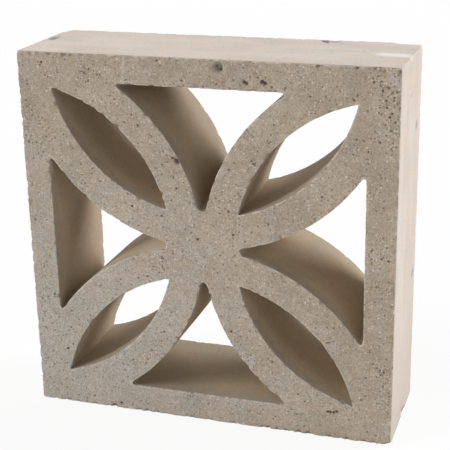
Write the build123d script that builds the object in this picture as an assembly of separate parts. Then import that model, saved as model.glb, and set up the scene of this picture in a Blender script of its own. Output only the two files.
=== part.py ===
from build123d import *

import math
import os

# Square concrete screen block with a four-leaf pattern, pressed in one piece.
#
# The face is a square border around four leaves that run from a solid hub to the
# corners. Each leaf is a lens-shaped opening between two curved ribs. The ribs also
# bound four three-sided openings, one against each side of the border, which narrow to
# a point at the hub. Every curve is an arc about the middle of one of the face's sides,
# so the pattern is the same on all four sides and its arcs carry on from block to block
# in a laid wall. The arrises are square, as they leave the mould.
#
# Millimetres. The face looks along -Y, +Z is up, and the origin is the middle of the
# bottom bed face, on which the block stands.

# Overall sizes
FACE_SIDE = 290.0
DEPTH = 90.0

# The pattern
BORDER_WIDTH = 22.0
LEAF_OPENING_WIDTH = 35.0
RIB_WIDTH = 25.0
HUB_RADIUS = 27.5

# Half the angle of the point in which a side opening ends at the hub, in degrees
POINT_HALF_ANGLE = 45.0

# Corners of the openings, as the mould's cores leave them
LEAF_TIP_RADIUS = 0.8
SIDE_CORNER_RADIUS = 1.6

# How far a cut runs past the face that it opens
CUT_OVERRUN = 5.0

# The pattern's quarters
REPEATS = 4

half_side = FACE_SIDE / 2
border_inner = half_side - BORDER_WIDTH

# The arcs about two neighbouring side middles cross on the face's diagonal, so the
# leaf's width and the distance between those middles set the arcs' radius.
arc_centre_spacing = half_side * math.sqrt(2)
leaf_radius = (arc_centre_spacing + LEAF_OPENING_WIDTH) / 2
rib_radius = leaf_radius + RIB_WIDTH

face_plane = Plane(origin=(0, 0, half_side), x_dir=(1, 0, 0), z_dir=(0, -1, 0))


def leaf_opening():
    """The lens between two ribs, in the upper right quarter of the face."""
    side_disc = Pos(half_side, 0) * Circle(leaf_radius)
    top_disc = Pos(0, half_side) * Circle(leaf_radius)
    lens = side_disc & top_disc
    return fillet(lens.vertices(), LEAF_TIP_RADIUS)


def side_opening():
    """The three-sided opening under the top border, between two leaves and the hub."""
    reach = border_inner - HUB_RADIUS
    spread = reach * math.tan(math.radians(POINT_HALF_ANGLE))
    point, left, right = (0, HUB_RADIUS), (-spread, border_inner), (spread, border_inner)
    opening = make_face(Polyline(point, right, left, close=True))
    for side in (-1, 1):
        opening -= Pos(side * half_side, 0) * Circle(rib_radius)
    return fillet(opening.vertices(), SIDE_CORNER_RADIUS)


def pattern_cut():
    """All the openings, as solids that run past both faces of the block."""
    quarter = Sketch() + [leaf_opening(), side_opening()]
    pattern = Sketch() + [turn * quarter for turn in PolarLocations(0, REPEATS)]
    return extrude(face_plane * pattern, DEPTH / 2 + CUT_OVERRUN, both=True)


def screen_block():
    """The block: a square slab, pierced by the pattern."""
    slab = Pos(0, 0, half_side) * Box(FACE_SIDE, DEPTH, FACE_SIDE)
    return slab - pattern_cut()


os.makedirs("parts", exist_ok=True)
export_step(screen_block(), "parts/screen_block.step")
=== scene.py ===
import math

import bmesh
import bpy
import numpy as np
from mathutils import Matrix, Vector, kdtree, noise
from mathutils.geometry import delaunay_2d_cdt


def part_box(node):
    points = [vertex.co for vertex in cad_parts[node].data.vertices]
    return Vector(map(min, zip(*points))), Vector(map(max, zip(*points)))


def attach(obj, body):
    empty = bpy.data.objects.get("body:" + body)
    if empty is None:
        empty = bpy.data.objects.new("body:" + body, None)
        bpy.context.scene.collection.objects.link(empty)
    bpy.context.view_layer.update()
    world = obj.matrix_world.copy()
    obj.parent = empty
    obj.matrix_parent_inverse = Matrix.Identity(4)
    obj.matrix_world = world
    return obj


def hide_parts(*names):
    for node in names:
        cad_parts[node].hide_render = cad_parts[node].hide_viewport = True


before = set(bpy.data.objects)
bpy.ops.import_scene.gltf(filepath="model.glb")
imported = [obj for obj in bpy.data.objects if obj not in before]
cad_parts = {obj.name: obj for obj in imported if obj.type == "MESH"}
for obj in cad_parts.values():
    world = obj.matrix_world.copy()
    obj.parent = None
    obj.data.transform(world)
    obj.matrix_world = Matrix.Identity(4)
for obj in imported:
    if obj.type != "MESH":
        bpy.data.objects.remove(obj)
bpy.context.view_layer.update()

# The looks of a pressed concrete screen block: one closed mesh with rounded, bitten arrises, chips,
# pits and sandy grain, a procedural concrete with some painted light and shade, a pale floor and soft
# studio light.
# Metres. Face points are (across, up) from the middle of the face, and depths run from
# the front face to the back one.

block_low, block_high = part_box("screen_block")

# The three axes, by number
ACROSS, AWAY, UP = range(3)

# Sizes of the block and its pattern, as in the solid
HALF_SIDE = (block_high.x - block_low.x) / 2
MIDDLE_HEIGHT = (block_high.z + block_low.z) / 2
FRONT = block_low.y
DEPTH = block_high.y - block_low.y
BORDER_WIDTH = 0.022
LEAF_OPENING_WIDTH = 0.035
RIB_WIDTH = 0.025
HUB_RADIUS = 0.0275
BORDER_INNER = HALF_SIDE - BORDER_WIDTH
LEAF_RADIUS = (HALF_SIDE * math.sqrt(2) + LEAF_OPENING_WIDTH) / 2
RIB_RADIUS = LEAF_RADIUS + RIB_WIDTH

# The mould's cores sit a little off the middle of the face, and leave the openings tight
LEAF_MIDDLE = np.array([-0.0014, 0.0010])
RIB_MIDDLE = np.array([-0.0014, 0.0002])
BORDER_MIDDLE = np.array([-0.0008, 0.0004])
LEAF_TIGHT = 0.0001
SIDE_TIGHT = 0.00035

# Openings that differ from the others: whether one is a leaf, and which way it lies from the middle
UPPER_RIGHT_LEAF = (True, (1, 1))
LOWER_RIGHT_LEAF = (True, (1, -1))
TOP_OPENING = (False, (0, 1))
RIGHT_OPENING = (False, (1, 0))
LOWEST_OPENING = (False, (0, -1))

# How far the openings lean from the front face to the back one, and where that fades out
LEAN = (0.0002, 0.0006)
OWN_LEANS = ((UPPER_RIGHT_LEAF, (-0.0020, 0.0011)), (RIGHT_OPENING, (0.0008, 0.0014)))
LEAN_FADE = (0.003, 0.012)

# Painted light and shade on the walls of some openings: how much lighter or darker they are than the
# others
OWN_WALL_SHADING = (
    (LOWER_RIGHT_LEAF, 1.07),
    (RIGHT_OPENING, 1.07),
    (TOP_OPENING, 0.92),
    (LOWEST_OPENING, 0.96),
)

# The openings' ends at the hub are pressed blunt, all but the lowest, which keeps its point
BLUNT_END = 0.0288
BLUNT_SLOPE = 0.40
POINT_SLOPE = 1.0

# How far two outlines blend where they cross, which rounds the corner between them
LEAF_TIP_BLEND = 0.0004
SIDE_CORNER_BLEND = 0.0046
HUB_POINT_BLEND = 0.0010
BLOCK_CORNER_BLEND = 0.0014

# Mesh density
OUTLINE_SPACING = 0.0012
FRONT_SPACING = 0.00138
BACK_SPACING = 0.0026
ARRIS_STEPS = (0.0006, 0.0014, 0.0026)
WALL_ROWS = 11
OUTER_ROWS = 15
WALL_MARGIN = 0.0055
NET_CLEAR_SHARE = 0.6
NET_JITTER_SHARE = 0.22

# Seed of all random draws
SEED = 7

# Outlines are traced along rays from a point inside them, out to a reach
TRACE_RAYS = 6000
TRACE_HALVINGS = 40
LEAF_REACH = 0.070
SIDE_REACH = 0.090
EDGE_REACH = 0.250
SIDE_CENTRE_SHARE = 0.72
SLOPE_STEP = 0.00005
SAME_POINT = 1e-9

# Asks the triangulation for the triangles inside the outlines only
ONLY_INSIDE = 1

# Wear of the arrises: a radius that wanders along the edge, bites out of the edge, and how far in
# the arrises are pale, partly with wear and partly with a painted highlight
ARRIS_RADIUS = 0.0007
ARRIS_LEAST = 0.0003
ARRIS_MOST = 0.0024
ARRIS_WAVES = ((0.0180, 0.0004), (0.0050, 0.0005), (0.0022, 0.0004))
BITE_SIZE = 0.0032
BITE_FROM = 0.12
BITE_MOST = 0.0007
NIBBLE_SHARE = 0.25
BITE_FADE = (0.0006, 0.0034)
WEAR_AND_HIGHLIGHT_REACH = 0.0014

# Relief of the pressed faces and of the moulded sides, as (feature size, depth)
FACE_WAVES = ((0.0300, 0.00012), (0.0065, 0.00007), (0.0030, 0.00010))
FACE_GRAINS = (0.0032, 0.00012)
SIDE_WAVES = ((0.0450, 0.00008), (0.0140, 0.00005), (0.0050, 0.00002))

# Camera, which is also what places the marks read from the photograph
PHOTO_SIDE = 450
CAMERA_AT = (0.27348, -0.81968, 0.45651)
CAMERA_AIM = (0.00193, 0, 0.14935)
CAMERA_ROLL = 0.021
CAMERA_LENS = 93.47
SENSOR_WIDTH = 36

# Pits seen on the front face: pixel across, pixel down and radius
SOFT_MARKS = (
    (218.0, 67.8, 0.0044),
)
DEEP_MARKS = (
    (219.6, 70.2, 0.0011), (244.0, 82.2, 0.0016), (246.6, 83.8, 0.0015), (262.2, 81.9, 0.0018),
    (264.9, 83.6, 0.0018), (41.0, 62.0, 0.0011), (172.0, 158.0, 0.0011), (174.6, 159.6, 0.0016),
    (132.0, 206.2, 0.0011), (327.6, 411.8, 0.0013), (330.4, 412.4, 0.0014),
    (333.6, 412.8, 0.0014), (336.8, 411.8, 0.0013), (121.7, 402.7, 0.0013), (231.0, 331.9, 0.0011),
)
FACE_MARKS = (
    (215.6, 67.0, 0.0010), (271.7, 87.4, 0.0010), (156.4, 60.9, 0.0011),
    (80.3, 71.6, 0.0008), (84.6, 73.0, 0.0008), (88.2, 69.5, 0.0007), (137.7, 125.4, 0.0011),
    (131.3, 114.7, 0.0008), (228.4, 212.2, 0.0012), (72.4, 148.0, 0.0008), (36.5, 142.6, 0.0009),
    (25.8, 100.3, 0.0008), (92.3, 168.5, 0.0009), (91.8, 173.5, 0.0007), (161.4, 174.9, 0.0008),
    (162.1, 164.9, 0.0008), (197.6, 239.4, 0.0013), (367.8, 111.1, 0.0010), (359.2, 111.8, 0.0007),
    (362.8, 103.9, 0.0007), (391.5, 149.4, 0.0009), (368.6, 152.0, 0.0008), (268.1, 224.4, 0.0009),
    (240.1, 197.2, 0.0010), (228.7, 169.9, 0.0010), (253.0, 136.9, 0.0008), (268.8, 143.4, 0.0008),
    (251.6, 161.3, 0.0008), (233.0, 235.2, 0.0012), (310.4, 96.7, 0.0008), (55.2, 293.9, 0.0012),
    (68.1, 348.4, 0.0012), (138.4, 278.1, 0.0010), (161.8, 257.0, 0.0008), (162.3, 261.5, 0.0008),
    (153.5, 266.6, 0.0009), (120.5, 279.5, 0.0009), (164.3, 331.9, 0.0009),
    (133.4, 359.9, 0.0010), (71.7, 311.1, 0.0009), (381.5, 259.4, 0.0011), (371.5, 259.4, 0.0009),
    (296.9, 414.4, 0.0010), (250.2, 410.8, 0.0010), (304.7, 425.9, 0.0008), (383.7, 372.8, 0.0011),
    (383.0, 387.1, 0.0010), (376.5, 368.5, 0.0010), (375.0, 68.8, 0.0010), (384.3, 71.6, 0.0011),
    (374.2, 82.4, 0.0011), (381.4, 81.7, 0.0010), (382.8, 95.3, 0.0011), (392.1, 114.0, 0.0010),
    (390.0, 117.5, 0.0011), (395.7, 122.6, 0.0010), (385.7, 125.4, 0.0009), (387.1, 108.2, 0.0010),
    (399.3, 102.5, 0.0010), (397.2, 92.4, 0.0010), (389.3, 88.1, 0.0010), (391.4, 131.2, 0.0010),
    (382.8, 90.6, 0.0009), (357.7, 96.0, 0.0009), (357.0, 139.8, 0.0009), (366.3, 170.6, 0.0010),
    (386.4, 101.0, 0.0010), (398.0, 76.0, 0.0009), (378.6, 76.4, 0.0009), (394.6, 98.0, 0.0009),
)

# Chips seen on the edges of the front face, the top and the right side: pixel across,
# pixel down, radius, how deep, and how dark the painted shade in the chip is
FRONT_CHIPS = (
    (318.2, 65.7, 0.0019, 0.0011, 1.00), (357.8, 67.1, 0.0018, 0.0010, 1.00),
    (29.0, 52.5, 0.0026, 0.0008, 0.35), (37.0, 52.6, 0.0024, 0.0008, 0.35),
    (48.0, 53.0, 0.0028, 0.0010, 0.45), (63.0, 53.4, 0.0030, 0.0010, 0.55),
    (70.0, 53.6, 0.0022, 0.0008, 0.45), (80.5, 53.9, 0.0024, 0.0008, 0.45),
    (114.7, 405.9, 0.0030, 0.0012, 0.80), (69.8, 399.6, 0.0020, 0.0007, 0.60),
    (78.0, 400.8, 0.0018, 0.0007, 0.60), (95.0, 403.2, 0.0020, 0.0007, 0.55),
    (138.5, 409.4, 0.0020, 0.0007, 0.65), (147.0, 410.6, 0.0022, 0.0008, 0.70),
    (158.0, 412.1, 0.0020, 0.0007, 0.60), (192.0, 417.0, 0.0020, 0.0007, 0.60),
    (211.0, 419.7, 0.0018, 0.0006, 0.55), (233.0, 422.8, 0.0020, 0.0007, 0.65),
    (262.0, 426.9, 0.0020, 0.0007, 0.70), (268.0, 427.8, 0.0024, 0.0009, 0.80),
    (277.0, 429.1, 0.0020, 0.0007, 0.75), (285.4, 430.3, 0.0020, 0.0007, 0.75),
    (299.0, 432.2, 0.0024, 0.0009, 0.85), (307.8, 433.5, 0.0024, 0.0009, 0.85),
    (330.0, 436.6, 0.0020, 0.0007, 0.70), (347.4, 439.1, 0.0020, 0.0007, 0.70),
    (363.7, 441.5, 0.0022, 0.0008, 0.75), (373.0, 442.8, 0.0018, 0.0006, 0.60),
    (280.3, 237.6, 0.0014, 0.0008, 0.50), (327.6, 306.0, 0.0016, 0.0008, 0.60),
    (31.5, 201.5, 0.0014, 0.0007, 0.50), (401.2, 72.0, 0.0018, 0.0008, 0.80),
    (176.8, 161.6, 0.0030, 0.0014, 1.00),
)
TOP_CHIPS = (
    (325.2, 40.3, 0.0034, 0.0020, 1.00), (325.6, 41.4, 0.0034, 0.0014, 0.90),
    (333.0, 41.3, 0.0076, 0.0020, 0.0), (403.0, 42.6, 0.0055, 0.0017, 0.0),
    (408.0, 42.8, 0.0055, 0.0019, 0.0), (413.0, 43.0, 0.0055, 0.0018, 0.0),
    (418.0, 43.2, 0.0050, 0.0014, 0.0), (51.0, 38.6, 0.0044, 0.0014, 0.60),
    (54.5, 37.4, 0.0044, 0.0014, 0.65), (58.0, 36.4, 0.0040, 0.0012, 0.45),
    (404.4, 65.6, 0.0026, 0.0009, 0.70),
)
RIGHT_CHIPS = (
    (412.3, 94.6, 0.0026, 0.0006, 0.35), (416.8, 124.7, 0.0036, 0.0010, 0.70),
    (412.6, 272.4, 0.0038, 0.0011, 0.85), (402.6, 410.4, 0.0050, 0.0014, 0.95),
)

# Corners broken off: which corner, and how far the break runs along each edge
CORNER_BREAKS = (
    ((1, -1, -1), (0.0078, 0.0052, 0.0042)),
    ((-1, -1, 1), (0.0028, 0.0030, 0.0026)),
    ((-1, 1, 1), (0.0060, 0.0150, 0.0024)),
    ((-1, -1, -1), (0.0022, 0.0024, 0.0020)),
)
BREAK_BLEND_SHARE = 0.25
BREAK_WAVES = ((0.0040, 0.22), (0.0016, 0.12))

# Patches seen on the front face, and painted light on it and on a wall in an opening: pixel across,
# pixel down and reach
POROUS_PATCHES = (
    (386, 76, 0.018), (394, 100, 0.017), (397, 128, 0.013), (383, 255, 0.013), (384, 290, 0.012),
    (386, 375, 0.015), (388, 400, 0.012), (85, 72, 0.012), (52, 75, 0.010), (28, 110, 0.010),
    (50, 380, 0.012), (140, 360, 0.010), (35, 270, 0.008), (158, 265, 0.009), (236, 228, 0.010),
    (230, 178, 0.009), (250, 360, 0.010),
)
CHALKY_PATCHES = (
    (226, 172, 0.009), (321, 333, 0.007), (334, 346, 0.006), (251, 360, 0.008), (386, 432, 0.008),
    (394, 78, 0.009),
)
# Painted light bounced from the floor onto the lower left of the front face
FLOOR_BOUNCE_PATCH = (
    (60, 385, 0.300),
)
FLOOR_BOUNCE_LEVEL = 0.68
# Painted light on the up-facing wall of the left opening by the hub
LIT_LEDGE_PATCH = (
    (160, 250, 0.034),
)

# Pale streaks seen on the top and the front face: the pixels of both ends, and the reach
TOP_STREAK = ((384, 54.2), (406, 55.6))
TOP_STREAK_REACH = 0.0085
FACE_CREASE = ((123.4, 57.5), (122.0, 84.0))
FACE_CREASE_REACH = 0.0020
FACE_CREASE_LEVEL = 0.14

# Pits scattered over the pressed faces, more of them in the porous patches
FRONT_PITS = 150
BACK_PITS = 150
PIT_TRIES = 12
PIT_RADIUS = (0.0005, 0.0010)
PIT_RADIUS_POWER = 1.5
POROUS_SIZE = 0.024
POROUS_LEVEL = 0.30

# The bowl of a pit, the mesh around it, as (share of the radius, points) rings, and how dark its
# painted shade is
PIT_DEPTH_SHARE = 0.85
BOWL_WALL_SHARE = 0.55
PIT_RINGS = ((0.50, 6), (1.05, 9))
PIT_CLEAR_SHARE = 1.35
PIT_JITTER_SHARE = 0.16
PIT_DARK = (0.35, 0.90)
MARK_DARK = (0.50, 0.95)
DEEP_MARK_DARK = 1.0
SOFT_MARK_DARK = 0.36

# Crumbs off the edges of the pressed faces, darkened with painted shade
FRONT_CRUMBS = 300
BACK_CRUMBS = 150
CRUMB_RADIUS = (0.0010, 0.0024)
CRUMB_DEPTH_SHARE = 0.42
CRUMB_DARK = (0.0, 0.60)

# Two faces that meet at more than this angle, in degrees, show a sharp edge
SHARP_ANGLE = 60

# Depths over which the faces' grain gives way to the sides, the openings' walls take on their own
# colour and their back part painted light from behind; and heights over which painted shade darkens
# the sides low down
GRAIN_FADE = (0.0004, 0.0022)
WALL_TONE_FADE = (0.0006, 0.0180)
REAR_LIGHT_FADE = (0.0450, 0.0880)
REAR_LIGHT_LEVEL = 0.30
FOOT_SHADE_FADE = (0.0, 0.130)

# Colours, in linear light
# Pressed faces darker and moulded sides lighter, partly their own colours and partly painted shade on
# the faces and painted light on the sides
FACE_LIGHT = (0.376, 0.318, 0.250, 1)
FACE_DARK = (0.297, 0.247, 0.188, 1)
SIDE_LIGHT = (0.622, 0.552, 0.494, 1)
SIDE_DARK = (0.556, 0.486, 0.424, 1)
# Painted shade towards the bottom of the sides
SIDE_FOOT_SHADE = (0.530, 0.466, 0.410, 1)
WALL_LIGHT = (0.446, 0.356, 0.250, 1)
WALL_DARK = (0.412, 0.326, 0.227, 1)
# Painted light falling in from behind, on the back part of the openings' walls
WALL_REAR_LIT = (0.540, 0.480, 0.410, 1)
# Painted light on an up-facing wall by the hub
LEDGE_LIGHT_COLOUR = (0.610, 0.505, 0.390, 1)
# Painted shade in pits, chips, crumbs and holes
PIT_SHADE_COLOUR = (0.085, 0.064, 0.045, 1)
PALE_COLOUR = (0.600, 0.550, 0.485, 1)
CHALK_COLOUR = (0.430, 0.395, 0.375, 1)
# Painted light bounced from the floor onto the lower left of the front face
FLOOR_BOUNCE_COLOUR = (0.428, 0.394, 0.358, 1)
STREAK_COLOUR = (0.810, 0.780, 0.770, 1)
FLOOR_COLOUR = (0.90, 0.90, 0.90, 1)
WHITE = (1, 1, 1, 1)
WARM_TINT = (1.025, 1.0, 0.975, 1)
COOL_TINT = (0.975, 1.0, 1.015, 1)

# Noises of the concrete, as (scale, detail, roughness)
BROAD_NOISE = (22.0, 3.0, 0.5)
MEDIUM_NOISE = (130.0, 3.0, 0.6)
SAND_NOISE = (620.0, 2.0, 0.6)
FINE_NOISE = (1400.0, 2.0, 0.6)
TINT_NOISE = (75.0, 2.0, 0.5)
DRAWN_NOISE = (1.0, 4.0, 0.5)
RAGGED_NOISE = (1100.0, 1.0, 0.5)
NOISE_MIDDLE = (0.5, 0.5, 0.5)

# The sides' tones are drawn out along each side, and the specks' outlines are shifted by a reach
DRAWN_SCALE = (11, 55, 11)
RAGGED_REACH = 0.0010

# How noises and painted values are eased: from one range to 0 and 1, or to the range that follows
TONE_RANGE = (0.65, 1.35)
FLOOR_BOUNCE_RANGE = (0.3, 0.7, 0.8, 1.0)
SIDE_TONE_RANGE = (0.40, 0.80)
TINT_RANGE = (0.35, 0.65)
SAND_RANGE = (0.25, 0.75, 0.84, 1.16)
SIDE_SAND_RANGE = (0.0, 1.0, 0.38, 1.0)
PORE_RANGE = (0.35, 0.65, 0.5, 1.5)
CHALK_RANGE = (0.35, 0.65, 0.1, 0.8)
WEAR_AND_HIGHLIGHT_RANGE = (0.38, 0.60, 0.05, 0.65)
BUMP_RANGE = (0.0, 1.0, 0.15, 0.55)
SPECK_EDGE_RANGE = (1.0, 0.45)
SPECK_STRENGTH_RANGE = (0.0, 1.0, 0.55, 1.0)
DRAWN_TONE_SHARE = 0.7
BROAD_TONE_SHARE = 0.5

# Specks: cells per metre, least and most radius as shares of a cell, the share of the cells that
# hold a speck, and what porous concrete adds to that share
PORES = (400.0, 0.18, 0.42, 0.01, 0.48)
PINHOLES = (700.0, 0.20, 0.48, 0.02, 0.50)
PALE_SPECKS = (480.0, 0.18, 0.40, 0.02, 0.50)
SIDE_HOLES = (240.0, 0.16, 0.40, 0.05, 0.0)

# How strongly the specks show, and how high they and the sand stand in the fine relief
PORE_LEVEL = 0.85
PINHOLE_LEVEL = 0.5
SIDE_HOLE_LEVEL = 0.35
DARK_LEVEL = 0.85
PALE_LEVEL = 0.8
SAND_HEIGHT = 0.9
FINE_HEIGHT = 0.5
DARK_DEPTH = 0.9
PALE_HEIGHT = 0.3
BUMP_DISTANCE = 0.0005
ROUGHNESS = 0.93
SPECULAR_LEVEL = 0.1

# Floor and world, and the lamps as (name, azimuth, elevation, level, spread), angles in degrees
FLOOR_REACH = 12
FLOOR_GLOW_SHARE = 0.88
LAMPS = (
    ("key_lamp", 120, 28, 0.87, 34),
    ("fill_lamp", 300, 20, 0.53, 25),
    ("left_lamp", 270, 36, 0.13, 25),
    ("high_lamp", 300, 55, 0.13, 25),
    ("front_lamp", 345, 6, 0.38, 50),
    ("right_lamp", 60, 24, 0.17, 40),
    ("back_lamp", 195, 7, 0.33, 40),
    ("high_back_lamp", 180, 36, 0.12, 25),
)
WORLD_LEVEL = 0.04


def smooth_max(a, b, blend):
    """The larger of two distances, rounded where they are nearly equal."""
    near = np.maximum(blend - np.abs(a - b), 0) / blend
    return np.maximum(a, b) + near * near * blend / 4


def smooth_step(value, low, high):
    """0 below low, 1 above high, and a smooth rise between them."""
    t = np.clip((value - low) / (high - low), 0, 1)
    return t * t * (3 - 2 * t)


def fold(points):
    """Mirrors points, measured from the pattern's middle, into the eighth that repeats."""
    return np.sort(np.abs(points), axis=-1)


def leaf_gap(points):
    """Distance from the nearest leaf opening, negative inside it."""
    p = fold(points - LEAF_MIDDLE)
    from_side = np.hypot(p[:, 0] - HALF_SIDE, p[:, 1]) - LEAF_RADIUS
    from_top = np.hypot(p[:, 0], p[:, 1] - HALF_SIDE) - LEAF_RADIUS
    return smooth_max(from_side, from_top, LEAF_TIP_BLEND) + LEAF_TIGHT


def side_gap(points):
    """Distance from the nearest three-sided opening, negative inside it."""
    by_rib, by_leaf = fold(points - RIB_MIDDLE), fold(points - LEAF_MIDDLE)
    rib = RIB_RADIUS - np.hypot(by_rib[:, 0] - HALF_SIDE, by_rib[:, 1])
    border = np.abs(points - BORDER_MIDDLE).max(axis=1) - BORDER_INNER
    is_low = np.abs(points - LEAF_MIDDLE)[:, 0] < (LEAF_MIDDLE - points)[:, 1]
    end = np.where(is_low, HUB_RADIUS, BLUNT_END)
    slope = np.where(is_low, POINT_SLOPE, BLUNT_SLOPE)
    point = (by_leaf[:, 0] * slope + end - by_leaf[:, 1]) / np.hypot(1, slope)
    outline = smooth_max(border, rib, SIDE_CORNER_BLEND)
    return smooth_max(outline, point, HUB_POINT_BLEND) + SIDE_TIGHT


def edge_gap(points):
    """Distance inside the block's square outline."""
    p = fold(points)
    return -smooth_max(p[:, 0] - HALF_SIDE, p[:, 1] - HALF_SIDE, BLOCK_CORNER_BLEND)


def solid_gap(points):
    """Distance of a face point from the nearest edge, positive in the concrete."""
    return np.minimum(np.minimum(leaf_gap(points), side_gap(points)), edge_gap(points))


def nearest_to(points, opening):
    """Whether the opening nearest to each face point is the one given."""
    is_leaf, way = opening
    p = points - LEAF_MIDDLE
    that_way = (p * way > 0).all(axis=1) if is_leaf else p @ way > np.abs(p @ way[::-1])
    return that_way & ((leaf_gap(points) < side_gap(points)) == is_leaf)


def leans(points):
    """How far face points shift by the back face, as the opening nearest to each one leans."""
    shift = np.tile(LEAN, (len(points), 1))
    for opening, lean in OWN_LEANS:
        shift[nearest_to(points, opening)] = lean
    share = 1 - smooth_step(np.minimum(leaf_gap(points), side_gap(points)), *LEAN_FADE)
    return shift * share[:, None]


def opening_wall_shading(points):
    """Painted light and shade: how light the walls of the opening nearest to each face point are."""
    tones = np.ones(len(points))
    for opening, tone in OWN_WALL_SHADING:
        tones[nearest_to(points, opening)] = tone
    return tones


def inward(points):
    """Unit direction in the face from the nearest edge into the concrete."""
    across, up = np.array([SLOPE_STEP, 0]), np.array([0, SLOPE_STEP])
    slope = np.stack(
        [
            solid_gap(points + across) - solid_gap(points - across),
            solid_gap(points + up) - solid_gap(points - up),
        ],
        axis=1,
    )
    return slope / np.maximum(np.linalg.norm(slope, axis=1, keepdims=True), SAME_POINT)


def trace(field, centre, start, reach):
    """A dense closed outline: where rays from a centre meet the field's zero."""
    angles = start + np.linspace(0, 2 * math.pi, TRACE_RAYS, endpoint=False)
    rays = np.stack([np.cos(angles), np.sin(angles)], axis=1)
    inside = field(centre[None])[0] > 0
    near, far = np.zeros(TRACE_RAYS), np.full(TRACE_RAYS, reach)
    for _ in range(TRACE_HALVINGS):
        middle = (near + far) / 2
        same = (field(centre + rays * middle[:, None]) > 0) == inside
        near, far = np.where(same, middle, near), np.where(same, far, middle)
    return centre + rays * near[:, None]


def resample(outline, spacing):
    """Evenly spaced points along a closed outline, a number of them that halves twice."""
    closed = np.vstack([outline, outline[:1]])
    steps = np.linalg.norm(np.diff(closed, axis=0), axis=1)
    travel = np.concatenate([[0], np.cumsum(steps)])
    count = 4 * round(travel[-1] / spacing / 4)
    stops = np.arange(count) * travel[-1] / count
    return np.stack([np.interp(stops, travel, closed[:, i]) for i in range(2)], axis=1)


def outlines():
    """The block's outline and the eight openings, each a closed ring of face points."""
    rings = [trace(edge_gap, np.zeros(2), math.pi / 4, EDGE_REACH)]
    for quarter in range(4):
        turn = quarter * math.pi / 2
        to_side = np.array([math.cos(turn), math.sin(turn)])
        to_corner = to_side + np.array([-to_side[1], to_side[0]])
        leaf_centre = LEAF_MIDDLE + to_corner * HALF_SIDE / 2
        side_centre = RIB_MIDDLE + to_side * HALF_SIDE * SIDE_CENTRE_SHARE
        rings.append(trace(leaf_gap, leaf_centre, turn + math.pi / 4, LEAF_REACH))
        rings.append(trace(side_gap, side_centre, turn, SIDE_REACH))
    return [resample(ring, OUTLINE_SPACING) for ring in rings]


class Skin:
    """The vertices and faces of the block's sharp-edged skin, before it is worn."""

    def __init__(self):
        self.flat = np.zeros((0, 2))
        self.depth = np.zeros(0)
        self.faces = []
        self.edges = []

    def add(self, points, depth):
        """Adds face points at one depth, and returns their numbers."""
        first = len(self.flat)
        self.flat = np.vstack([self.flat, points])
        self.depth = np.concatenate([self.depth, np.full(len(points), depth)])
        return np.arange(first, len(self.flat))

    def strip(self, a, b):
        """Joins two rings that have the same number of vertices."""
        self.faces += np.stack([a, np.roll(a, -1), np.roll(b, -1), b], axis=1).tolist()

    def strips(self, rings):
        """Joins each ring to the next."""
        for a, b in zip(rings, rings[1:]):
            self.strip(a, b)

    def taper(self, fine, coarse):
        """Joins a ring to one that has half as many vertices."""
        first, middle, last = fine[0::2], fine[1::2], np.roll(fine, -2)[0::2]
        after = np.roll(coarse, -1)
        for trio in ((first, middle, coarse), (middle, after, coarse), (middle, last, after)):
            self.faces += np.stack(trio, axis=1).tolist()

    def border(self, ring, into, depth):
        """Rings that follow an outline into the face. Returns the first and the last."""
        rings = [self.add(ring + into * step, depth) for step in (0, *ARRIS_STEPS)]
        self.strips(rings)
        return rings[0], rings[-1]

    def wall(self, ring, front, back, rows):
        """The wall behind an outline, finest beside the front arris."""
        near = [front] + [self.add(ring, step) for step in ARRIS_STEPS]
        levels = np.linspace(WALL_MARGIN, DEPTH - WALL_MARGIN, rows).tolist()
        levels += [DEPTH - step for step in ARRIS_STEPS[::-1]]
        far = [self.add(ring[::2], level) for level in levels] + [back]
        self.strips(near)
        self.strips(far)
        self.taper(near[-1], far[0])

    def fill(self, rings, spacing, depth, pits, rng):
        """Fills the face between rings with a net of triangles, finer at the pits."""
        row = spacing * math.sqrt(3) / 2
        i, j = np.meshgrid(np.arange(2 * HALF_SIDE / spacing), np.arange(2 * HALF_SIDE / row))
        net = np.stack([(i + j % 2 / 2) * spacing, j * row], axis=-1).reshape(-1, 2) - HALF_SIDE
        net += rng.uniform(-NET_JITTER_SHARE, NET_JITTER_SHARE, net.shape) * spacing
        for middle, radius in pits:
            net = net[np.linalg.norm(net - middle, axis=1) > radius * PIT_CLEAR_SHARE]
        net = np.vstack([net] + [pit_points(middle, radius, rng) for middle, radius in pits])
        net = net[solid_gap(net) > ARRIS_STEPS[-1] + spacing * NET_CLEAR_SHARE]
        numbers = np.concatenate([*rings, self.add(net, depth)])
        edges, opening, first = [], np.zeros(len(numbers), int), 0
        for number, ring in enumerate(rings):
            own = np.arange(first, first + len(ring))
            edges += np.stack([own, np.roll(own, -1)], axis=1).tolist()
            opening[own] = number
            first += len(ring)
        points = [Vector(p) for p in self.flat[numbers]]
        faces = np.array(delaunay_2d_cdt(points, edges, [], ONLY_INSIDE, SAME_POINT)[2])
        corners = opening[faces]
        in_opening = (corners[:, 0] > 0) & (corners.min(axis=1) == corners.max(axis=1))
        self.faces += numbers[faces[~in_opening]].tolist()


def pit_points(middle, radius, rng):
    """Net points for one pit: its middle and the rings of its bowl, a little uneven."""
    points = [middle]
    for share, count in PIT_RINGS:
        angles = (np.arange(count) + rng.random()) * 2 * math.pi / count
        reach = radius * share * (1 + rng.uniform(-PIT_JITTER_SHARE, PIT_JITTER_SHARE, count))
        points += list(middle + np.stack([np.cos(angles) * reach, np.sin(angles) * reach], axis=1))
    return np.array(points)


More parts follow.
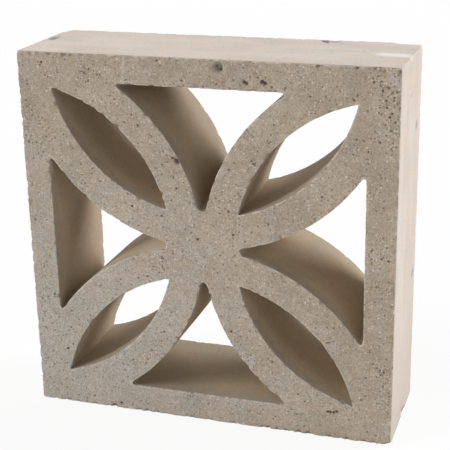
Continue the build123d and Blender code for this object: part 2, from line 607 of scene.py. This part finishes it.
def build_skin(front_pits, back_pits, rng):
    """The whole block with sharp arrises."""
    skin = Skin()
    front_rings, back_rings = [], []
    for ring in outlines():
        is_edge = np.abs(ring).max() > BORDER_INNER + BORDER_WIDTH / 2
        into = -ring / HALF_SIDE if is_edge else inward(ring)
        front, front_last = skin.border(ring, into, 0)
        back, back_last = skin.border(ring[::2], into[::2], DEPTH)
        skin.wall(ring, front, back, OUTER_ROWS if is_edge else WALL_ROWS)
        skin.edges.append(ring)
        front_rings.append(front_last)
        back_rings.append(back_last)
    skin.fill(front_rings, FRONT_SPACING, 0, front_pits, rng)
    skin.fill(back_rings, BACK_SPACING, DEPTH, back_pits, rng)
    return skin


def place(flat, depth):
    """Block points from face points and depths."""
    return np.stack([flat[:, 0], FRONT + depth, MIDDLE_HEIGHT + flat[:, 1]], axis=1)


def camera_turn():
    """How the camera is turned."""
    look = (Vector(CAMERA_AIM) - Vector(CAMERA_AT)).to_track_quat("-Z", "Y").to_matrix()
    return look @ Matrix.Rotation(-CAMERA_ROLL, 3, "Z")


def seen(pixels, axis, level):
    """Block points that show at the photograph's pixels, on the plane at a level of an axis."""
    pixels = np.asarray(pixels, float)
    away = np.full(len(pixels), -CAMERA_LENS / SENSOR_WIDTH * PHOTO_SIDE)
    rays = np.stack([pixels[:, 0] - PHOTO_SIDE / 2, PHOTO_SIDE / 2 - pixels[:, 1], away], axis=1)
    rays = rays @ np.array(camera_turn()).T
    return CAMERA_AT + rays * ((level - CAMERA_AT[axis]) / rays[:, axis])[:, None]


def seen_on_face(rows):
    """Face points of marks on the front face, which begin with their two pixels."""
    at = seen([row[:2] for row in rows], AWAY, FRONT)
    return np.stack([at[:, ACROSS], at[:, UP] - MIDDLE_HEIGHT], axis=1)


def waves(points, sizes):
    """A sum of smooth noises, each given as (feature size, height), from 0 up."""
    total = np.zeros(len(points))
    for size, height in sizes:
        total += height * (0.5 + 0.5 * np.array([noise.noise(p) for p in (points / size).tolist()]))
    return total


def grains(points, size):
    """Rounded grains about a size apart: 0 on a grain's crown, 1 between grains."""
    reach = np.array([noise.voronoi(p)[0][0] for p in (points / size).tolist()])
    return np.clip(reach, 0, 1)


def patches(flat, rows):
    """How deep face points lie in soft patches, 1 in a patch's middle."""
    most = np.zeros(len(flat))
    for middle, row in zip(seen_on_face(rows), rows):
        most = np.maximum(most, 1 - smooth_step(np.linalg.norm(flat - middle, axis=1), 0, row[2]))
    return most


def porous(flat):
    """How porous the pressed face is, from 0 to 1."""
    drift = waves(place(flat, np.zeros(len(flat))), ((POROUS_SIZE, 2 * POROUS_LEVEL),))
    return np.clip(drift + patches(flat, POROUS_PATCHES), 0, 1)


def scattered_pits(count, rng):
    """Pits at random places of a pressed face, as (face point, radius) pairs."""
    least, most = PIT_RADIUS
    tries = rng.uniform(-HALF_SIDE, HALF_SIDE, (count * PIT_TRIES, 2))
    kept = (solid_gap(tries) > ARRIS_STEPS[-1] + most) & (rng.random(len(tries)) < porous(tries))
    spots = tries[kept][:count]
    radii = least + (most - least) * rng.random(len(spots)) ** PIT_RADIUS_POWER
    return list(zip(spots, radii))


def wear_arrises(skin):
    """Bites into every arris and rounds it to its own wandering radius."""
    gap = np.maximum(solid_gap(skin.flat), 0)
    from_face = np.minimum(skin.depth, DEPTH - skin.depth)
    reach = max(ARRIS_MOST, BITE_FADE[1])
    near = (gap < reach) & (from_face < reach)
    into = inward(skin.flat[near])
    gap, from_face, is_back = gap[near], from_face[near], skin.depth[near] > DEPTH / 2
    edge = place(skin.flat[near] - into * gap[:, None], np.where(is_back, DEPTH, 0))
    wander = waves(edge, ARRIS_WAVES) - sum(height for _, height in ARRIS_WAVES) / 2
    radius = np.clip(ARRIS_RADIUS + wander, ARRIS_LEAST, ARRIS_MOST)
    out = np.maximum(np.hypot(gap - radius, from_face - radius), SAME_POINT)
    rounded = (gap < radius) & (from_face < radius)
    new_gap = np.where(rounded, radius + radius * (gap - radius) / out, gap)
    new_depth = np.where(rounded, radius + radius * (from_face - radius) / out, from_face)
    bite = waves(edge, ((BITE_SIZE, 2),)) - 1
    bite = BITE_MOST * smooth_step(bite, BITE_FROM, 1) + BITE_MOST * NIBBLE_SHARE * np.abs(bite)
    fade = (1 - smooth_step(gap, *BITE_FADE)) * (1 - smooth_step(from_face, *BITE_FADE))
    flat, depth, arris_wear_and_highlight = skin.flat.copy(), skin.depth.copy(), np.zeros(len(skin.depth))
    flat[near] += into * (new_gap - gap + bite * fade)[:, None]
    depth[near] = np.where(is_back, DEPTH - new_depth, new_depth)
    # Arrises pale partly with wear and partly with a painted highlight
    arris_wear_and_highlight[near] = (1 - smooth_step(gap, 0, WEAR_AND_HIGHLIGHT_REACH)) * (1 - smooth_step(from_face, 0, WEAR_AND_HIGHLIGHT_REACH))
    return flat, depth, arris_wear_and_highlight


def seen_pits(rows):
    """Pits seen in the photograph, as (face point, radius) pairs."""
    return list(zip(seen_on_face(rows), [row[2] for row in rows]))


def pit_rows(pits, depth, darks):
    """Pits of one face as rows of (place, radius, how deep, how dark)."""
    middles = place(np.array([middle for middle, _ in pits]), np.full(len(pits), depth))
    return [(at, r, r * PIT_DEPTH_SHARE, dark) for at, (_, r), dark in zip(middles, pits, darks)]


def crumb_rows(edges, count, depth, rng):
    """Crumbs off the edges of one face, as rows of (place, radius, how deep, how dark)."""
    line = np.concatenate(edges)
    spots = place(line[rng.integers(len(line), size=count)], np.full(count, depth))
    radii = rng.uniform(*CRUMB_RADIUS, count)
    darks = rng.uniform(*CRUMB_DARK, count)
    return [(at, r, r * CRUMB_DEPTH_SHARE, dark) for at, r, dark in zip(spots, radii, darks)]


def chip_rows():
    """The chips seen in the photograph, as rows of (place, radius, how deep, how dark)."""
    rows = []
    for chips, axis, level in (
        (FRONT_CHIPS, AWAY, FRONT),
        (TOP_CHIPS, UP, block_high.z),
        (RIGHT_CHIPS, ACROSS, block_high.x),
    ):
        places = seen([chip[:2] for chip in chips], axis, level)
        rows += [(at, *chip[2:]) for at, chip in zip(places, chips)]
    return rows


def dent_rows(marks, soft_marks, front_pits, back_pits, edges, rng):
    """All the dents of the block, as rows of (place, radius, how deep, how dark)."""
    mark_darks = rng.uniform(*MARK_DARK, len(marks))
    mark_darks[:len(DEEP_MARKS)] = DEEP_MARK_DARK
    rows = pit_rows(marks, 0, mark_darks)
    rows += pit_rows(soft_marks, 0, [SOFT_MARK_DARK] * len(soft_marks))
    rows += pit_rows(front_pits, 0, rng.uniform(*PIT_DARK, len(front_pits)))
    rows += pit_rows(back_pits, DEPTH, rng.uniform(*PIT_DARK, len(back_pits)))
    rows += crumb_rows(edges, FRONT_CRUMBS, 0, rng)
    rows += crumb_rows(edges, BACK_CRUMBS, DEPTH, rng)
    return rows + chip_rows()


def dent(points, rows):
    """How far dents sink each point, and how dark the painted shade in them leaves it."""
    sunk, shade = np.zeros(len(points)), np.zeros(len(points))
    tree = kdtree.KDTree(len(points))
    for number, point in enumerate(points):
        tree.insert(point, number)
    tree.balance()
    for at, radius, deep, dark in rows:
        for _, number, reach in tree.find_range(at, radius):
            bowl = smooth_step(1 - reach / radius, 0, BOWL_WALL_SHARE)
            sunk[number] = max(sunk[number], deep * bowl)
            shade[number] = max(shade[number], dark * bowl)
    return sunk, shade


def relief(points, grain):
    """How far the relief sinks each point: coarse on the pressed faces, fine on the sides."""
    face = waves(points, FACE_WAVES) + FACE_GRAINS[1] * grains(points, FACE_GRAINS[0])
    return grain * face + (1 - grain) * waves(points, SIDE_WAVES)


def break_corners(points):
    """Moves the points beyond a broken corner onto its rough break."""
    for signs, reach in CORNER_BREAKS:
        corner = np.where(np.array(signs) > 0, block_high, block_low)
        slope = np.array(signs) / np.array(reach)
        over = (points - corner) @ slope + 1
        beyond = over > -BREAK_BLEND_SHARE
        rough = waves(points[beyond], BREAK_WAVES)
        back = smooth_max(over[beyond], 0, BREAK_BLEND_SHARE) + rough * np.clip(over[beyond], 0, 1)
        points[beyond] -= back[:, None] * slope / (slope @ slope)
    return points


def mesh_from(name, points, faces):
    """A mesh whose faces all look outwards."""
    mesh = bpy.data.meshes.new(name)
    mesh.from_pydata(points.tolist(), [], faces)
    work = bmesh.new()
    work.from_mesh(mesh)
    bmesh.ops.recalc_face_normals(work, faces=work.faces)
    work.to_mesh(mesh)
    work.free()
    return mesh


def vertex_normals(mesh):
    """The outward directions of a mesh's vertices."""
    normals = np.zeros(len(mesh.vertices) * 3, np.float32)
    mesh.vertex_normals.foreach_get("vector", normals)
    return normals.reshape(-1, 3)


def paint(mesh, name, values):
    """Stores one number for each vertex, for the concrete's nodes to read."""
    layer = mesh.attributes.new(name, "FLOAT", "POINT")
    layer.data.foreach_set("value", np.asarray(values, np.float32))


def streak(points, ends, reach):
    """How deep block points lie in a streak between two ends, 1 in its middle."""
    start, along = ends[0], ends[1] - ends[0]
    share = np.clip((points - start) @ along / (along @ along), 0, 1)
    away = np.linalg.norm(points - start - share[:, None] * along, axis=1)
    return 1 - smooth_step(away, 0, reach)


def pale_streaks(points):
    """How deep block points lie in the pale streaks of the top and the front face."""
    on_top = streak(points, seen(TOP_STREAK, UP, block_high.z), TOP_STREAK_REACH)
    on_face = streak(points, seen(FACE_CREASE, AWAY, FRONT), FACE_CREASE_REACH)
    return np.maximum(on_top, on_face * FACE_CREASE_LEVEL)


def make_block():
    """The block, its arrises rounded and bitten, as one closed mesh."""
    rng = np.random.default_rng(SEED)
    marks, soft_marks = seen_pits(DEEP_MARKS + FACE_MARKS), seen_pits(SOFT_MARKS)
    front_pits, back_pits = scattered_pits(FRONT_PITS, rng), scattered_pits(BACK_PITS, rng)
    skin = build_skin(marks + soft_marks + front_pits, back_pits, rng)
    flat, depth, arris_wear_and_highlight = wear_arrises(skin)
    flat = flat + leans(skin.flat) * (depth / DEPTH)[:, None]
    smooth = place(flat, depth)
    mesh = mesh_from("concrete_block", smooth, skin.faces)
    normals = vertex_normals(mesh)
    grain = 1 - smooth_step(np.minimum(depth, DEPTH - depth), *GRAIN_FADE)
    sunk, shade = dent(smooth, dent_rows(marks, soft_marks, front_pits, back_pits, skin.edges, rng))
    points = break_corners(smooth - normals * (relief(smooth, grain) + sunk)[:, None])
    points = np.clip(points, block_low, block_high)
    mesh.vertices.foreach_set("co", points.astype(np.float32).ravel())
    mesh.shade_smooth()
    mesh.set_sharp_from_angle(angle=math.radians(SHARP_ANGLE))
    mesh.update()

    in_front = depth < DEPTH / 2
    paint(mesh, "grain", grain)
    paint(mesh, "opening", edge_gap(skin.flat) > BORDER_WIDTH / 2)
    # Painted shade in the dents
    paint(mesh, "pit", shade)
    # Arrises pale partly with wear and partly with a painted highlight
    paint(mesh, "arris_wear_and_highlight", arris_wear_and_highlight)
    paint(mesh, "porous", porous(flat))
    paint(mesh, "chalky", patches(flat, CHALKY_PATCHES) * in_front)
    paint(mesh, "streak", pale_streaks(smooth))
    # Painted light bounced from the floor onto the lower left of the front face
    paint(mesh, "floor_bounce", patches(flat, FLOOR_BOUNCE_PATCH) * FLOOR_BOUNCE_LEVEL * in_front)
    paint(mesh, "inside", smooth_step(depth, *WALL_TONE_FADE))
    # Painted light and shade on the walls of some openings
    paint(mesh, "wall_shading", opening_wall_shading(skin.flat))
    # Painted light on the up-facing wall by the hub, only where the wall faces up
    paint(mesh, "ledge_light", patches(flat, LIT_LEDGE_PATCH) * np.clip(normals[:, UP], 0, 1))
    # Painted shade: the sides darker towards the bottom
    paint(mesh, "foot_shade", 1 - smooth_step(points[:, UP] - block_low.z, *FOOT_SHADE_FADE))
    # Painted light falling in from behind, on the back part of the openings' walls
    paint(mesh, "rear_light", smooth_step(depth, *REAR_LIGHT_FADE) * REAR_LIGHT_LEVEL)
    block = bpy.data.objects.new("concrete_block", mesh)
    bpy.context.scene.collection.objects.link(block)
    return block


def node(tree, kind, inputs=None, **settings):
    """Adds a shader node, with values or other nodes' sockets on its inputs."""
    made = tree.nodes.new(kind)
    for name, value in settings.items():
        setattr(made, name, value)
    for name, value in (inputs or {}).items():
        if isinstance(value, bpy.types.NodeSocket):
            tree.links.new(value, made.inputs[name])
        else:
            made.inputs[name].default_value = value
    return made


def calculate(tree, operation, a, b):
    """The result of a Math node."""
    return node(tree, "ShaderNodeMath", {0: a, 1: b}, operation=operation).outputs[0]


def times(tree, a, b):
    """The product of two numbers."""
    return calculate(tree, "MULTIPLY", a, b)


def vector_math(tree, operation, inputs):
    """The result of a Vector Math node."""
    return node(tree, "ShaderNodeVectorMath", inputs, operation=operation).outputs[0]


def ease(tree, value, low, high, to_low=0.0, to_high=1.0):
    """A value eased from one range to another."""
    spread = {"Value": value, "From Min": low, "From Max": high, "To Min": to_low, "To Max": to_high}
    return node(tree, "ShaderNodeMapRange", spread, interpolation_type="SMOOTHSTEP").outputs[0]


def mix(tree, factor, a, b, blend="MIX"):
    """Two colours mixed."""
    inputs = {0: factor, 6: a, 7: b}
    return node(tree, "ShaderNodeMix", inputs, data_type="RGBA", blend_type=blend).outputs[2]


def tinted(tree, colour, tint):
    """The product of two colours."""
    return mix(tree, 1.0, colour, tint, "MULTIPLY")


def grey(tree, value):
    """A grey colour from a number."""
    return node(tree, "ShaderNodeCombineColor", {0: value, 1: value, 2: value}).outputs[0]


def painted(tree, name):
    """The number that paint() stored for each vertex."""
    return node(tree, "ShaderNodeAttribute", attribute_name=name).outputs["Fac"]


def soft_noise(tree, at, scale, detail, roughness):
    """The outputs of a Noise Texture node."""
    inputs = {"Vector": at, "Scale": scale, "Detail": detail, "Roughness": roughness}
    return node(tree, "ShaderNodeTexNoise", inputs).outputs


def cloud(tree, at, kind):
    """Soft noise from 0 to 1."""
    return soft_noise(tree, at, *kind)["Fac"]


def cells(tree, at, scale, dimensions):
    """Cells of about one size: distance from the cell's middle, and three numbers of its own."""
    inputs = {"Vector": at, "Scale": scale}
    made = node(tree, "ShaderNodeTexVoronoi", inputs, voronoi_dimensions=dimensions)
    own = node(tree, "ShaderNodeSeparateColor", {"Color": made.outputs["Color"]})
    return made.outputs["Distance"], own.outputs


def ragged(tree, at):
    """Face places shifted a little to and fro, which makes round specks uneven."""
    shift = soft_noise(tree, at, *RAGGED_NOISE)["Color"]
    shift = vector_math(tree, "SUBTRACT", {0: shift, 1: NOISE_MIDDLE})
    shift = vector_math(tree, "SCALE", {0: shift, "Scale": RAGGED_REACH})
    shifted = vector_math(tree, "ADD", {0: at, 1: shift})
    part = node(tree, "ShaderNodeSeparateXYZ", {0: shifted}).outputs
    across = calculate(tree, "ADD", part["X"], part["Y"])
    return node(tree, "ShaderNodeCombineXYZ", {"X": across, "Y": part["Z"]}).outputs[0]


def specks(tree, at, kind, open_pores, dimensions="2D"):
    """Round specks in a share of the cells, each with its own radius and strength."""
    scale, least, most, share, added_share = kind
    reach, own = cells(tree, at, scale, dimensions)
    radius = ease(tree, own["Green"], 0.0, 1.0, least, most)
    inside = ease(tree, calculate(tree, "DIVIDE", reach, radius), *SPECK_EDGE_RANGE)
    filled = calculate(tree, "ADD", times(tree, open_pores, added_share), share)
    chosen = calculate(tree, "LESS_THAN", own["Red"], filled)
    return times(tree, times(tree, inside, chosen), ease(tree, own["Blue"], *SPECK_STRENGTH_RANGE))


def cast_colour(tree, at, grain, medium):
    """The colours of the pressed faces, the moulded sides and the openings' walls."""
    broad = cloud(tree, at, BROAD_NOISE)
    tone = ease(tree, calculate(tree, "ADD", broad, medium), *TONE_RANGE)
    plain = mix(tree, tone, FACE_DARK, FACE_LIGHT)
    # Painted light bounced from the floor, in patches on the lower left of the front face
    floor_bounce = times(tree, painted(tree, "floor_bounce"), ease(tree, broad, *FLOOR_BOUNCE_RANGE))
    face = mix(tree, floor_bounce, plain, FLOOR_BOUNCE_COLOUR)

    drawn = node(tree, "ShaderNodeMapping", {"Vector": at, "Scale": DRAWN_SCALE}).outputs[0]
    drawn_tone = times(tree, cloud(tree, drawn, DRAWN_NOISE), DRAWN_TONE_SHARE)
    side_tone = calculate(tree, "ADD", drawn_tone, times(tree, broad, BROAD_TONE_SHARE))
    side = mix(tree, ease(tree, side_tone, *SIDE_TONE_RANGE), SIDE_DARK, SIDE_LIGHT)
    # Painted shade: the sides darker towards the bottom
    side = mix(tree, painted(tree, "foot_shade"), side, SIDE_FOOT_SHADE)

    wall = mix(tree, tone, WALL_DARK, WALL_LIGHT)
    # Painted light falling in from behind, on the back part of the openings' walls
    wall = mix(tree, painted(tree, "rear_light"), wall, WALL_REAR_LIT)
    wall = mix(tree, painted(tree, "inside"), plain, wall)
    # Painted light and shade on the walls of some openings
    wall = tinted(tree, wall, grey(tree, painted(tree, "wall_shading")))
    # Painted light on an up-facing wall by the hub
    wall = mix(tree, painted(tree, "ledge_light"), wall, LEDGE_LIGHT_COLOUR)

    colour = mix(tree, grain, mix(tree, painted(tree, "opening"), side, wall), face)
    warmth = ease(tree, cloud(tree, at, TINT_NOISE), *TINT_RANGE)
    return tinted(tree, colour, mix(tree, warmth, COOL_TINT, WARM_TINT))


def sandiness(tree, sand, fine, grain):
    """How light or dark the sand is, around 1, and less so on the moulded sides."""
    sandy = ease(tree, sand, *SAND_RANGE)
    gritty = ease(tree, fine, *SAND_RANGE)
    rough = calculate(tree, "SUBTRACT", times(tree, sandy, gritty), 1.0)
    rough = times(tree, rough, ease(tree, grain, *SIDE_SAND_RANGE))
    return calculate(tree, "ADD", rough, 1.0)


def speckle(tree, at, grain, medium):
    """How strongly the painted shade of holes and the pale specks show."""
    open_pores = times(tree, painted(tree, "porous"), grain)
    open_pores = times(tree, open_pores, ease(tree, medium, *PORE_RANGE))
    uneven = ragged(tree, at)
    pores = times(tree, specks(tree, uneven, PORES, open_pores), PORE_LEVEL)
    pinholes = times(tree, specks(tree, uneven, PINHOLES, open_pores), PINHOLE_LEVEL)
    dark = times(tree, calculate(tree, "MAXIMUM", pores, pinholes), grain)
    side_holes = times(tree, specks(tree, at, SIDE_HOLES, open_pores, "3D"), SIDE_HOLE_LEVEL)
    dark = calculate(tree, "MAXIMUM", dark, side_holes)
    pale = times(tree, specks(tree, uneven, PALE_SPECKS, open_pores), grain)
    return dark, pale


def marked(tree, colour, medium, dark, pale):
    """A colour with its pale specks, chalk, streaks, arrises pale with wear and painted highlight, and
    painted shade in holes and pits.
    """
    colour = mix(tree, times(tree, pale, PALE_LEVEL), colour, PALE_COLOUR)
    chalk = times(tree, painted(tree, "chalky"), ease(tree, medium, *CHALK_RANGE))
    colour = mix(tree, chalk, colour, CHALK_COLOUR)
    colour = mix(tree, painted(tree, "streak"), colour, STREAK_COLOUR)
    # Arrises pale partly with wear and partly with a painted highlight
    arris_wear_and_highlight = times(tree, painted(tree, "arris_wear_and_highlight"), ease(tree, medium, *WEAR_AND_HIGHLIGHT_RANGE))
    colour = mix(tree, arris_wear_and_highlight, colour, PALE_COLOUR)
    # Painted shade in holes and pits
    holes = calculate(tree, "MAXIMUM", times(tree, dark, DARK_LEVEL), painted(tree, "pit"))
    return mix(tree, holes, colour, PIT_SHADE_COLOUR)


def fine_relief(tree, sand, fine, dark, pale, grain):
    """The normal of the sandy surface, which is smoother on the moulded sides."""
    height = calculate(tree, "ADD", times(tree, sand, SAND_HEIGHT), times(tree, fine, FINE_HEIGHT))
    height = calculate(tree, "SUBTRACT", height, times(tree, dark, DARK_DEPTH))
    height = calculate(tree, "ADD", height, times(tree, pale, PALE_HEIGHT))
    strength = ease(tree, grain, *BUMP_RANGE)
    inputs = {"Height": height, "Strength": strength, "Distance": BUMP_DISTANCE}
    return node(tree, "ShaderNodeBump", inputs).outputs[0]


def concrete():
    """Sandy concrete: open-grained on the pressed faces, smoother on the moulded sides."""
    material = bpy.data.materials.new("concrete")
    material.use_nodes = True
    tree = material.node_tree
    shader = tree.nodes["Principled BSDF"]
    at = node(tree, "ShaderNodeTexCoord").outputs["Object"]
    grain = painted(tree, "grain")
    medium = cloud(tree, at, MEDIUM_NOISE)
    sand = cloud(tree, at, SAND_NOISE)
    fine = cloud(tree, at, FINE_NOISE)
    dark, pale = speckle(tree, at, grain, medium)
    colour = cast_colour(tree, at, grain, medium)
    colour = tinted(tree, colour, grey(tree, sandiness(tree, sand, fine, grain)))
    tree.links.new(marked(tree, colour, medium, dark, pale), shader.inputs["Base Color"])
    tree.links.new(fine_relief(tree, sand, fine, dark, pale, grain), shader.inputs["Normal"])
    shader.inputs["Roughness"].default_value = ROUGHNESS
    shader.inputs["Specular IOR Level"].default_value = SPECULAR_LEVEL
    return material


def shown_rays(tree):
    """1 for the rays that show the backdrop itself, and 0 for those that carry its light."""
    path = node(tree, "ShaderNodeLightPath").outputs
    shown = calculate(tree, "MAXIMUM", path["Is Camera Ray"], path["Is Glossy Ray"])
    return calculate(tree, "MAXIMUM", shown, path["Is Transmission Ray"])


def make_floor():
    """A plain pale floor under the block."""
    mesh = bpy.data.meshes.new("floor")
    signs = ((-1, -1), (1, -1), (1, 1), (-1, 1))
    corners = [(x * FLOOR_REACH, y * FLOOR_REACH, block_low.z) for x, y in signs]
    mesh.from_pydata(corners, [], [range(len(corners))])
    floor = bpy.data.objects.new("floor", mesh)
    bpy.context.scene.collection.objects.link(floor)
    material = bpy.data.materials.new("floor")
    material.use_nodes = True
    tree = material.node_tree
    shader = tree.nodes["Principled BSDF"]
    shader.inputs["Base Color"].default_value = FLOOR_COLOUR
    shader.inputs["Roughness"].default_value = 1.0
    shader.inputs["Specular IOR Level"].default_value = 0.0
    glow = node(tree, "ShaderNodeEmission", {"Color": WHITE, "Strength": 1.0})
    share = times(tree, shown_rays(tree), FLOOR_GLOW_SHARE)
    both = node(tree, "ShaderNodeMixShader", {0: share, 1: shader.outputs[0], 2: glow.outputs[0]})
    tree.links.new(both.outputs[0], tree.nodes["Material Output"].inputs["Surface"])
    mesh.materials.append(material)


def make_lamps():
    """Large soft lamps all round, far enough away to light the floor evenly."""
    for name, azimuth, elevation, level, spread in LAMPS:
        lamp = bpy.data.lights.new(name, "SUN")
        lamp.energy = level * math.pi
        lamp.angle = math.radians(spread)
        stand = bpy.data.objects.new(name, lamp)
        turn, rise = math.radians(azimuth), math.radians(elevation)
        towards = (math.sin(turn) * math.cos(rise), -math.cos(turn) * math.cos(rise), math.sin(rise))
        stand.rotation_mode = "QUATERNION"
        stand.rotation_quaternion = Vector(towards).to_track_quat("Z", "Y")
        bpy.context.scene.collection.objects.link(stand)


def make_world():
    """A white backdrop that gives only a little light."""
    world = bpy.data.worlds.new("studio")
    world.use_nodes = True
    tree = world.node_tree
    backdrop = tree.nodes["Background"]
    backdrop.inputs["Color"].default_value = WHITE
    inputs = {"Value": shown_rays(tree), "To Min": WORLD_LEVEL, "To Max": 1.0}
    level = node(tree, "ShaderNodeMapRange", inputs)
    tree.links.new(level.outputs[0], backdrop.inputs["Strength"])
    bpy.context.scene.world = world


def make_camera():
    """The photograph's viewpoint."""
    data = bpy.data.cameras.new("camera")
    data.lens = CAMERA_LENS
    data.sensor_width = SENSOR_WIDTH
    camera = bpy.data.objects.new("camera", data)
    camera.matrix_world = Matrix.Translation(CAMERA_AT) @ camera_turn().to_4x4()
    bpy.context.scene.collection.objects.link(camera)
    bpy.context.scene.camera = camera


block = make_block()
block.data.materials.append(concrete())
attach(block, "root")
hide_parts("screen_block")

make_floor()
make_lamps()
make_world()
make_camera()
bpy.context.scene.view_settings.view_transform = "Standard"
